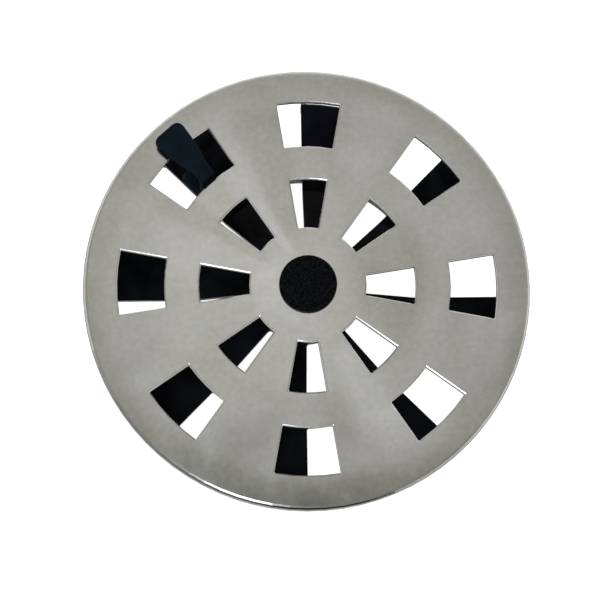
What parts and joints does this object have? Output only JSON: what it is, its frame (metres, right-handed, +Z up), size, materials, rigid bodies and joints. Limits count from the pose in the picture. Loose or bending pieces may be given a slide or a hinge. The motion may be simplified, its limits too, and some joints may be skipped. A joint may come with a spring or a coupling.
{
  "type": "round floor drain cover",
  "caption": "Round stainless floor drain cover with rings of windows over a black shutter, which a finger lever turns to open or close them.",
  "frame": {"origin": "on the turning axis, level with the foot of the shutter's lip, which is the lowest point: the bottom centre of the whole object's box", "axes": "+Z up along the turning axis, out of the plate's polished face; +X to the right and +Y to the top of the picture"},
  "size_m": [0.1, 0.1, 0.024],
  "materials": {
    "polished_stainless": "polished",
    "textured_black_plastic": "fine texture",
    "natural_nylon": "satin",
    "spring_steel": "satin",
    "moulded_black_plastic": "satin",
    "gloss_black_plastic": "gloss"
  },
  "bodies": {
    "cover": {"cover_plate": "polished_stainless", "pivot_stud": "textured_black_plastic", "thrust_washer": "natural_nylon", "retaining_clip": "spring_steel"},
    "shutter": {"shutter": "moulded_black_plastic", "finger_lever": "gloss_black_plastic"}
  },
  "joints": [
    {"name": "shutter_turn", "type": "hinge", "parent": "cover", "child": "shutter", "pos_m": [0, 0, 0.0137], "axis": [0, 0, 1], "range_deg": [-7.6, 11]}
  ]
}
